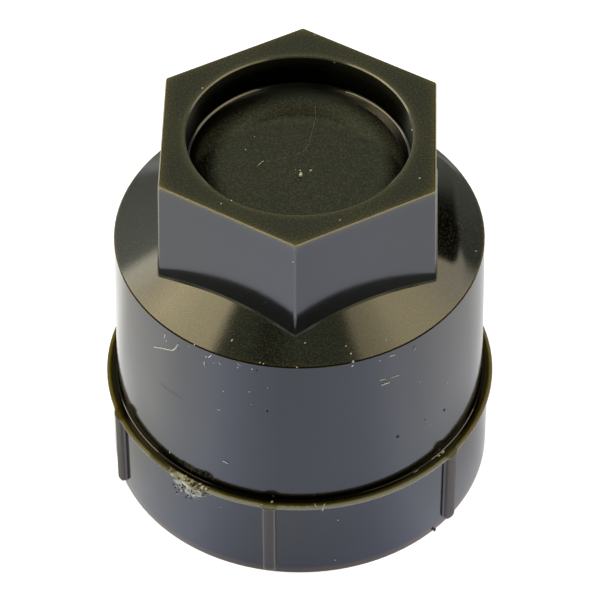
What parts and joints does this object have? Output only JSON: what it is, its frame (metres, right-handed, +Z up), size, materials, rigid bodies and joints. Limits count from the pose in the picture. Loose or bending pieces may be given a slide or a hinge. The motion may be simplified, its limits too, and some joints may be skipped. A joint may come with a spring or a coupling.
{
  "type": "wheel nut cover cap",
  "caption": "Screw-on moulded plastic cap for a wheel nut: hollow round body with a threaded mouth, ribbed collar, coned shoulder and a hexagonal head with a round recess.",
  "frame": {"origin": "centre of the open mouth's rim, on the cap's axis", "axes": "+Z up the cap's axis from the mouth to the hexagonal head; the hexagon has a corner towards -Y and flats facing +X and -X"},
  "size_m": [0.0328, 0.033, 0.0355],
  "materials": {
    "black_plastic": "satin black moulded plastic"
  },
  "bodies": {
    "root": {"cap": "black_plastic"}
  },
  "joints": []
}
